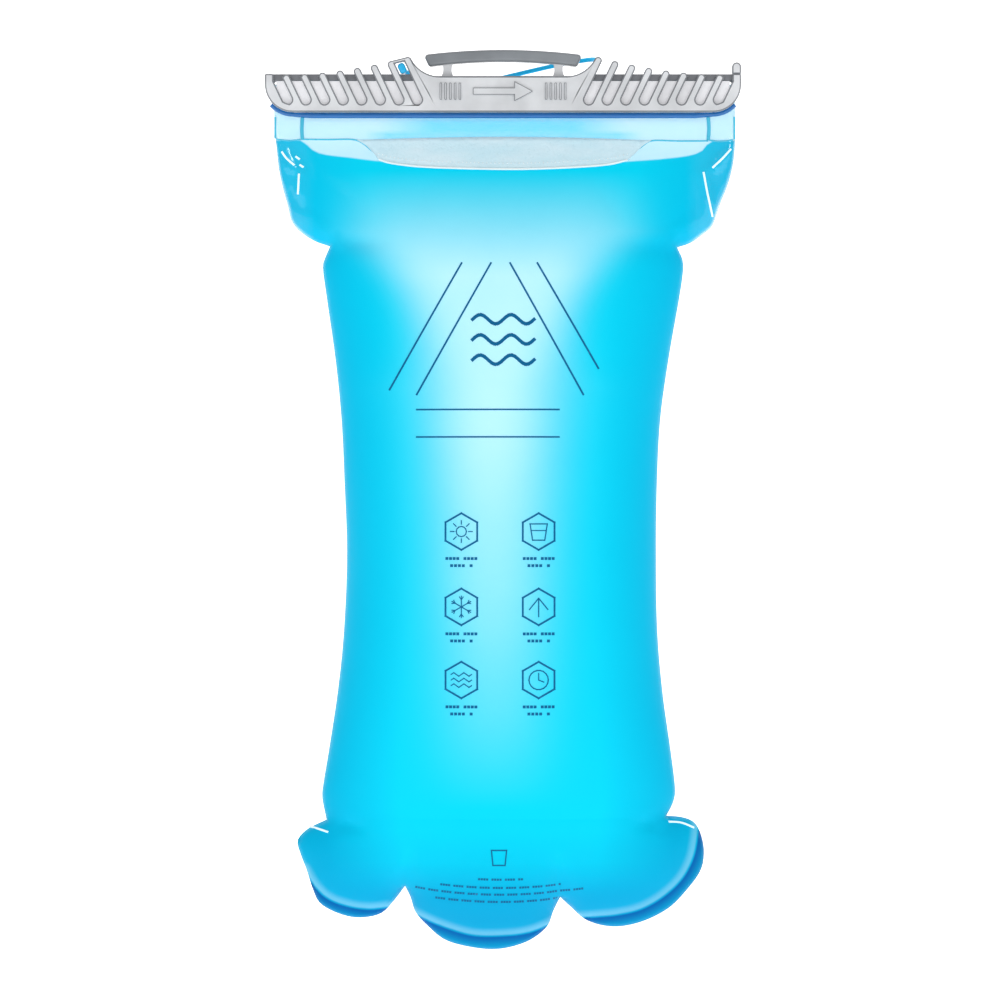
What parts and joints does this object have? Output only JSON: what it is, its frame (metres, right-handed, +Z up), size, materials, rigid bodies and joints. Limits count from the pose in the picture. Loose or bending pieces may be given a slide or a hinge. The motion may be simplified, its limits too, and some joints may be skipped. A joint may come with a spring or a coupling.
{
  "type": "hydration bladder",
  "caption": "Soft two-litre water reservoir, full, closed by a slide-on comb clip with a hang bar, with a latched hose socket and shut-off valve on its back.",
  "frame": {"origin": "where a hook touches the underside of the hang bar, at the bar's middle", "axes": "+Z up from the bag towards the hang bar, +Y to the back where the hose socket is, +X towards the clip's end post"},
  "size_m": [0.19, 0.0804, 0.3603],
  "materials": {
    "clip_grey": "satin",
    "bar_grey": "satin",
    "strip_white": "satin",
    "tether_blue": "satin",
    "bead_blue": "gloss",
    "film_blue": "gloss",
    "film_clear": "gloss",
    "water": "gloss",
    "port_grey": "satin",
    "button_blue": "satin",
    "spring_steel": "brushed",
    "seal_black": "matte"
  },
  "bodies": {
    "clip": {"clip_front_comb": "clip_grey", "clip_back_wall": "clip_grey", "clip_top_rail": "bar_grey", "clip_end_stop": "clip_grey", "hang_bar": "bar_grey", "hang_posts": "clip_grey", "tether_bead": "tether_blue", "tether_cord": "tether_blue"},
    "bag": {"mouth_film": "film_clear", "front_strip": "strip_white", "back_strip": "strip_white", "mouth_bead": "bead_blue", "front_film": "film_blue", "back_film": "film_blue", "perimeter_weld": "film_blue", "grip_patch": "film_clear", "water_fill": "water", "port_flange": "port_grey", "port_body": "port_grey", "latch_housing": "port_grey", "port_cover": "port_grey", "valve_cage": "port_grey", "latch_spring": "spring_steel", "valve_spring": "spring_steel"},
    "latch": {"latch_button": "button_blue"},
    "valve": {"valve_poppet": "button_blue", "poppet_seal": "seal_black"}
  },
  "joints": [
    {"name": "clip_slide", "type": "slide", "parent": "clip", "child": "bag", "axis": [-1, 0, 0], "range_m": [0, 0.195]},
    {"name": "latch_press", "type": "slide", "parent": "bag", "child": "latch", "axis": [0, 0, -1], "range_m": [0, 0.0015], "stiffness_N_per_m": 200, "springref_m": -0.003, "deforming": ["latch_spring"]},
    {"name": "valve_push", "type": "slide", "parent": "bag", "child": "valve", "axis": [0, -1, 0], "range_m": [0, 0.0024], "stiffness_N_per_m": 150, "springref_m": -0.003, "deforming": ["valve_spring"]}
  ]
}
